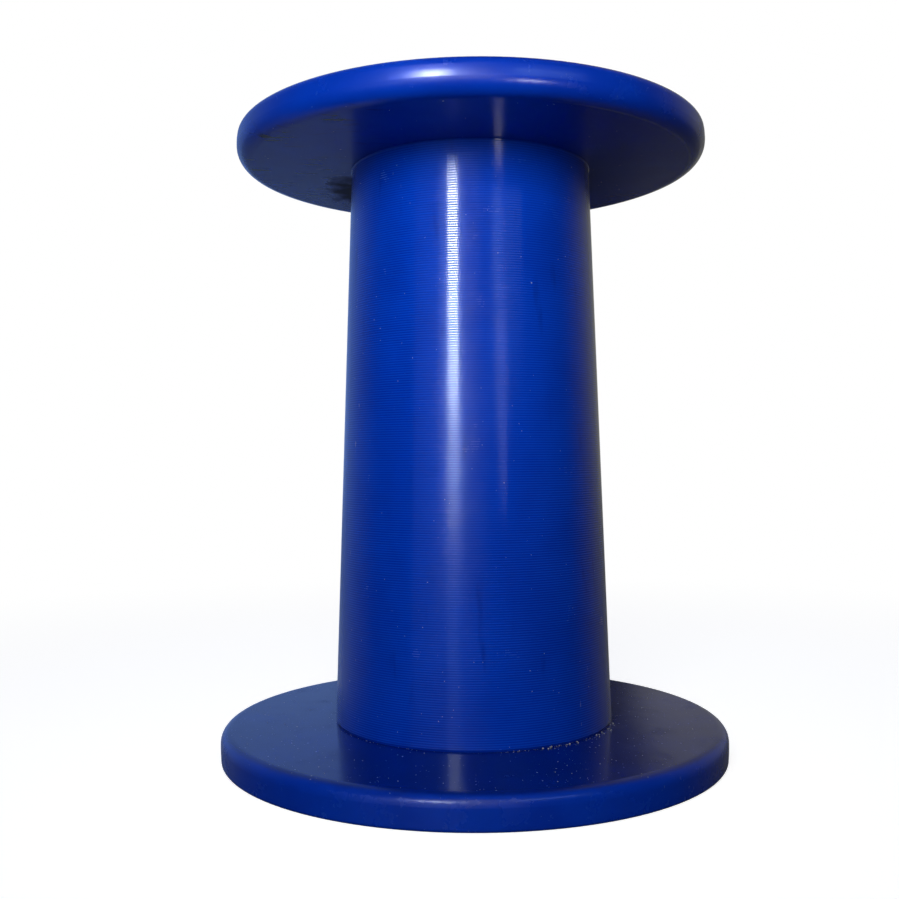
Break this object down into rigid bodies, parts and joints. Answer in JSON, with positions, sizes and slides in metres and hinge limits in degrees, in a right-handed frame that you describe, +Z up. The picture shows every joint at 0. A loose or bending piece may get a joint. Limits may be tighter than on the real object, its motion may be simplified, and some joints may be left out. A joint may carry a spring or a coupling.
{
  "type": "plastic wire spool",
  "caption": "Wire spool with a tapered hollow barrel, thick round-edged flanges, the lower one wider, ribbed ends and a through bore.",
  "frame": {"origin": "centre of the lower flange's end face, which the spool stands on", "axes": "+Z up the spool's axis, from the wider flange to the narrower one; +X runs along one of the ribs"},
  "size_m": [0.23, 0.23, 0.28],
  "materials": {
    "flange_plastic": "glossy moulded, dark blue",
    "barrel_plastic": "glossy blue with fine turned rings, 1 mm apart"
  },
  "bodies": {
    "root": {"lower_flange": "flange_plastic", "barrel": "barrel_plastic", "upper_flange": "flange_plastic"}
  },
  "joints": []
}
